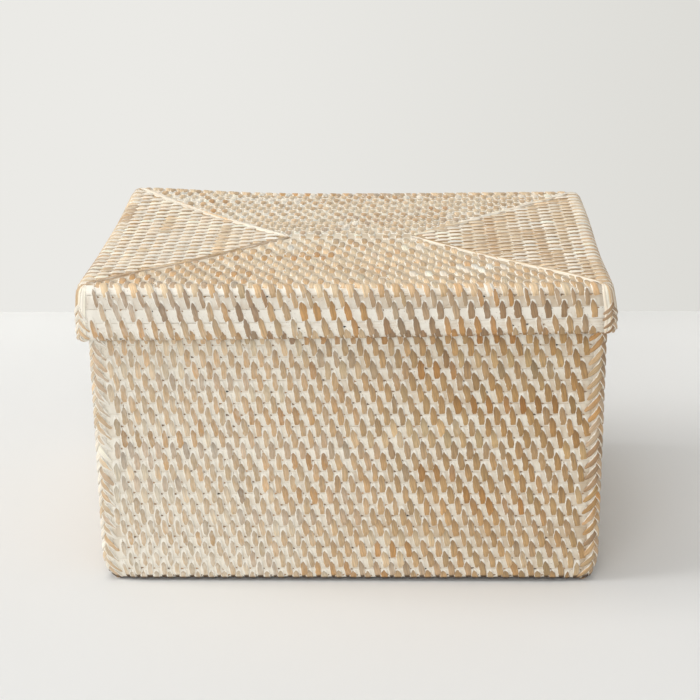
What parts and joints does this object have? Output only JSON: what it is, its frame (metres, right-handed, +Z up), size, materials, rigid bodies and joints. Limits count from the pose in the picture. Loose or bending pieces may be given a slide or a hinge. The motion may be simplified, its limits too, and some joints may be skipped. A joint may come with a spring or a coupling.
{
  "type": "woven lidded box",
  "caption": "Rectangular box of stitched rattan courses with braid-bound corners and a lift-off lid whose skirt slips over the body, for storage on a shelf or table.",
  "frame": {"origin": "on the ground under the middle of the box", "axes": "+Z up, +X along the length, front towards -Y"},
  "size_m": [0.305, 0.229, 0.1791],
  "materials": {
    "painted_rod": "whitewashed rattan rod, matt, with peel stitches",
    "peel": "rattan peel, wiped whitewash, satin",
    "pole": "natural rattan pole, satin"
  },
  "bodies": {
    "box": {"floor_front": "painted_rod", "floor_right": "painted_rod", "floor_back": "painted_rod", "floor_left": "painted_rod", "base_rail_front": "peel", "base_rail_right": "peel", "base_rail_back": "peel", "base_rail_left": "peel", "wall_front": "painted_rod", "wall_right": "painted_rod", "wall_back": "painted_rod", "wall_left": "painted_rod", "rim_rail_front": "peel", "rim_rail_right": "peel", "rim_rail_back": "peel", "rim_rail_left": "peel", "corner_braid_front_left": "peel", "corner_braid_front_right": "peel", "corner_braid_back_right": "peel", "corner_braid_back_left": "peel", "corner_post_front_left": "pole", "corner_post_front_right": "pole", "corner_post_back_right": "pole", "corner_post_back_left": "pole"},
    "lid": {"lid_top_front": "painted_rod", "lid_top_right": "painted_rod", "lid_top_back": "painted_rod", "lid_top_left": "painted_rod", "lid_mitre_front_left": "peel", "lid_mitre_front_right": "peel", "lid_mitre_back_right": "peel", "lid_mitre_back_left": "peel", "lid_edge_rail_front": "peel", "lid_edge_rail_right": "peel", "lid_edge_rail_back": "peel", "lid_edge_rail_left": "peel", "lid_skirt_front": "painted_rod", "lid_skirt_right": "painted_rod", "lid_skirt_back": "painted_rod", "lid_skirt_left": "painted_rod", "lid_rim_rail_front": "peel", "lid_rim_rail_right": "peel", "lid_rim_rail_back": "peel", "lid_rim_rail_left": "peel", "lid_corner_braid_front_left": "peel", "lid_corner_braid_front_right": "peel", "lid_corner_braid_back_right": "peel", "lid_corner_braid_back_left": "peel"}
  },
  "joints": [
    {"name": "lid_lift", "type": "slide", "parent": "box", "child": "lid", "axis": [0, 0, 1], "range_m": [0, 0.12]}
  ]
}
